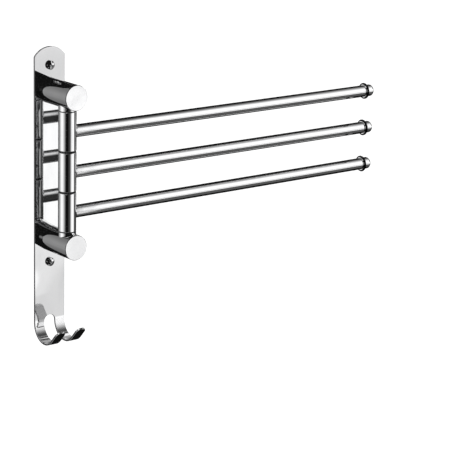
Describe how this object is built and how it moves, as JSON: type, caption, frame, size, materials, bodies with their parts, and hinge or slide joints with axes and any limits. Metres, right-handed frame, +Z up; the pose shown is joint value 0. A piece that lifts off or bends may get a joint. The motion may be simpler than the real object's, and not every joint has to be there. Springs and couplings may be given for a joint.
{
  "type": "swing arm towel bar",
  "caption": "Wall-mounted towel bar whose polished steel arms swing one above the other on an upright hinge, over a pair of robe hooks.",
  "frame": {"origin": "on the back face of the wall plate, on its centreline, midway between the two posts", "axes": "+X along the wall, the way the arms point at rest; +Y into the wall; +Z up"},
  "size_m": [0.4161, 0.072, 0.299],
  "materials": {
    "polished_steel": "mirror polished stainless steel",
    "wall_screw": "polished stainless screw",
    "plated_screw": "zinc plated steel",
    "ground_rod": "ground steel rod",
    "brass_plug": "turned brass",
    "nylon_bush": "black nylon"
  },
  "bodies": {
    "wall_frame": {"back_plate": "polished_steel", "upper_post": "polished_steel", "lower_post": "polished_steel", "upper_post_cap": "polished_steel", "lower_post_cap": "polished_steel", "upper_collar": "polished_steel", "lower_collar": "polished_steel", "upper_post_plug": "brass_plug", "lower_post_plug": "brass_plug", "post_screws": "plated_screw", "rod_screws": "plated_screw", "pivot_rod": "ground_rod", "wall_screws": "wall_screw"},
    "upper_arm": {"upper_arm_barrel": "polished_steel", "upper_arm_top_bush": "nylon_bush", "upper_arm_bottom_bush": "nylon_bush", "upper_arm_tube": "polished_steel", "upper_arm_end_stop": "polished_steel"},
    "middle_arm": {"middle_arm_barrel": "polished_steel", "middle_arm_top_bush": "nylon_bush", "middle_arm_bottom_bush": "nylon_bush", "middle_arm_tube": "polished_steel", "middle_arm_end_stop": "polished_steel"},
    "lower_arm": {"lower_arm_barrel": "polished_steel", "lower_arm_top_bush": "nylon_bush", "lower_arm_bottom_bush": "nylon_bush", "lower_arm_tube": "polished_steel", "lower_arm_end_stop": "polished_steel"}
  },
  "joints": [
    {"name": "upper_arm_swing", "type": "hinge", "parent": "wall_frame", "child": "upper_arm", "pos_m": [0, -0.033, 0], "axis": [0, 0, -1], "range_deg": [0, 180]},
    {"name": "middle_arm_swing", "type": "hinge", "parent": "wall_frame", "child": "middle_arm", "pos_m": [0, -0.033, 0], "axis": [0, 0, -1], "range_deg": [0, 180]},
    {"name": "lower_arm_swing", "type": "hinge", "parent": "wall_frame", "child": "lower_arm", "pos_m": [0, -0.033, 0], "axis": [0, 0, -1], "range_deg": [0, 180]}
  ]
}
